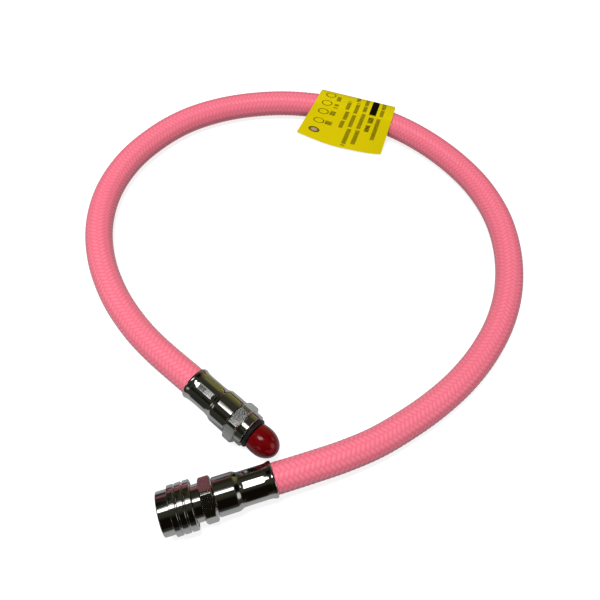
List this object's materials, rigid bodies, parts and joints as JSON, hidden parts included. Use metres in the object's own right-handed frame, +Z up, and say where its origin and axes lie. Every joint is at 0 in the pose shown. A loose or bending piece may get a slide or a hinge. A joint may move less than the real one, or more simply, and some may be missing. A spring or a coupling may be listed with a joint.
{
  "type": "low-pressure hose",
  "caption": "Braided low-pressure inflator hose in a loop, with a quick-release coupler on one end and a capped screw fitting on the other",
  "frame": {"origin": "on the floor under the middle of the two end fittings' common box", "axes": "+Z up, square to the floor that the hose lies on; the coupler lies along X with its mouth towards -X; the loop of hose lies towards +Y"},
  "size_m": [0.1746, 0.1834, 0.0167],
  "materials": {
    "braid": "satin woven braid over rubber",
    "tag_vinyl": "satin printed vinyl",
    "chrome": "polished chrome plate on brass",
    "seal_rubber": "smooth black rubber",
    "cap_vinyl": "glossy dipped vinyl",
    "spring_steel": "bright drawn steel",
    "valve_brass": "turned brass"
  },
  "bodies": {
    "hose_assembly": {"hose": "braid", "hose_tag": "tag_vinyl", "adapter_ferrule": "chrome", "adapter_stem": "chrome", "adapter_o_ring": "seal_rubber", "coupler_ferrule": "chrome", "coupler_body": "chrome", "sleeve_snap_ring": "spring_steel", "sleeve_spring": "spring_steel", "spring_washer": "spring_steel", "nipple_o_ring": "seal_rubber", "valve_core": "valve_brass", "valve_spring": "spring_steel"},
    "sleeve": {"release_sleeve": "chrome"},
    "ball_1": {"lock_ball_1": "spring_steel"},
    "ball_2": {"lock_ball_2": "spring_steel"},
    "ball_3": {"lock_ball_3": "spring_steel"},
    "ball_4": {"lock_ball_4": "spring_steel"},
    "ball_5": {"lock_ball_5": "spring_steel"},
    "ball_6": {"lock_ball_6": "spring_steel"},
    "valve": {"valve_pin": "valve_brass", "valve_seal": "seal_rubber"},
    "cap": {"thread_cap": "cap_vinyl"}
  },
  "joints": [
    {"name": "sleeve_slide", "type": "slide", "parent": "hose_assembly", "child": "sleeve", "axis": [1, 0, 0], "range_m": [0, 0.002], "stiffness_N_per_m": 1500, "springref_m": -0.001, "deforming": ["sleeve_spring"]},
    {"name": "ball_1_slide", "type": "slide", "parent": "hose_assembly", "child": "ball_1", "axis": [0, 0, 1], "range_m": [0, 0.0005]},
    {"name": "ball_2_slide", "type": "slide", "parent": "hose_assembly", "child": "ball_2", "axis": [0, 0.866, 0.5], "range_m": [0, 0.0005]},
    {"name": "ball_3_slide", "type": "slide", "parent": "hose_assembly", "child": "ball_3", "axis": [0, 0.866, -0.5], "range_m": [0, 0.0005]},
    {"name": "ball_4_slide", "type": "slide", "parent": "hose_assembly", "child": "ball_4", "axis": [0, 0, -1], "range_m": [0, 0.0005]},
    {"name": "ball_5_slide", "type": "slide", "parent": "hose_assembly", "child": "ball_5", "axis": [0, -0.866, -0.5], "range_m": [0, 0.0005]},
    {"name": "ball_6_slide", "type": "slide", "parent": "hose_assembly", "child": "ball_6", "axis": [0, -0.866, 0.5], "range_m": [0, 0.0005]},
    {"name": "valve_slide", "type": "slide", "parent": "hose_assembly", "child": "valve", "axis": [1, 0, 0], "range_m": [0, 0.0014], "stiffness_N_per_m": 1500, "springref_m": -0.0005, "deforming": ["valve_spring"]},
    {"name": "cap_slide", "type": "slide", "parent": "hose_assembly", "child": "cap", "axis": [0.5358, -0.8443, 0], "range_m": [0, 0.002]}
  ],
  "couplings": [
    {"joint": "ball_1_slide", "follows": "sleeve_slide", "ratio": 0.25},
    {"joint": "ball_2_slide", "follows": "sleeve_slide", "ratio": 0.25},
    {"joint": "ball_3_slide", "follows": "sleeve_slide", "ratio": 0.25},
    {"joint": "ball_4_slide", "follows": "sleeve_slide", "ratio": 0.25},
    {"joint": "ball_5_slide", "follows": "sleeve_slide", "ratio": 0.25},
    {"joint": "ball_6_slide", "follows": "sleeve_slide", "ratio": 0.25}
  ]
}
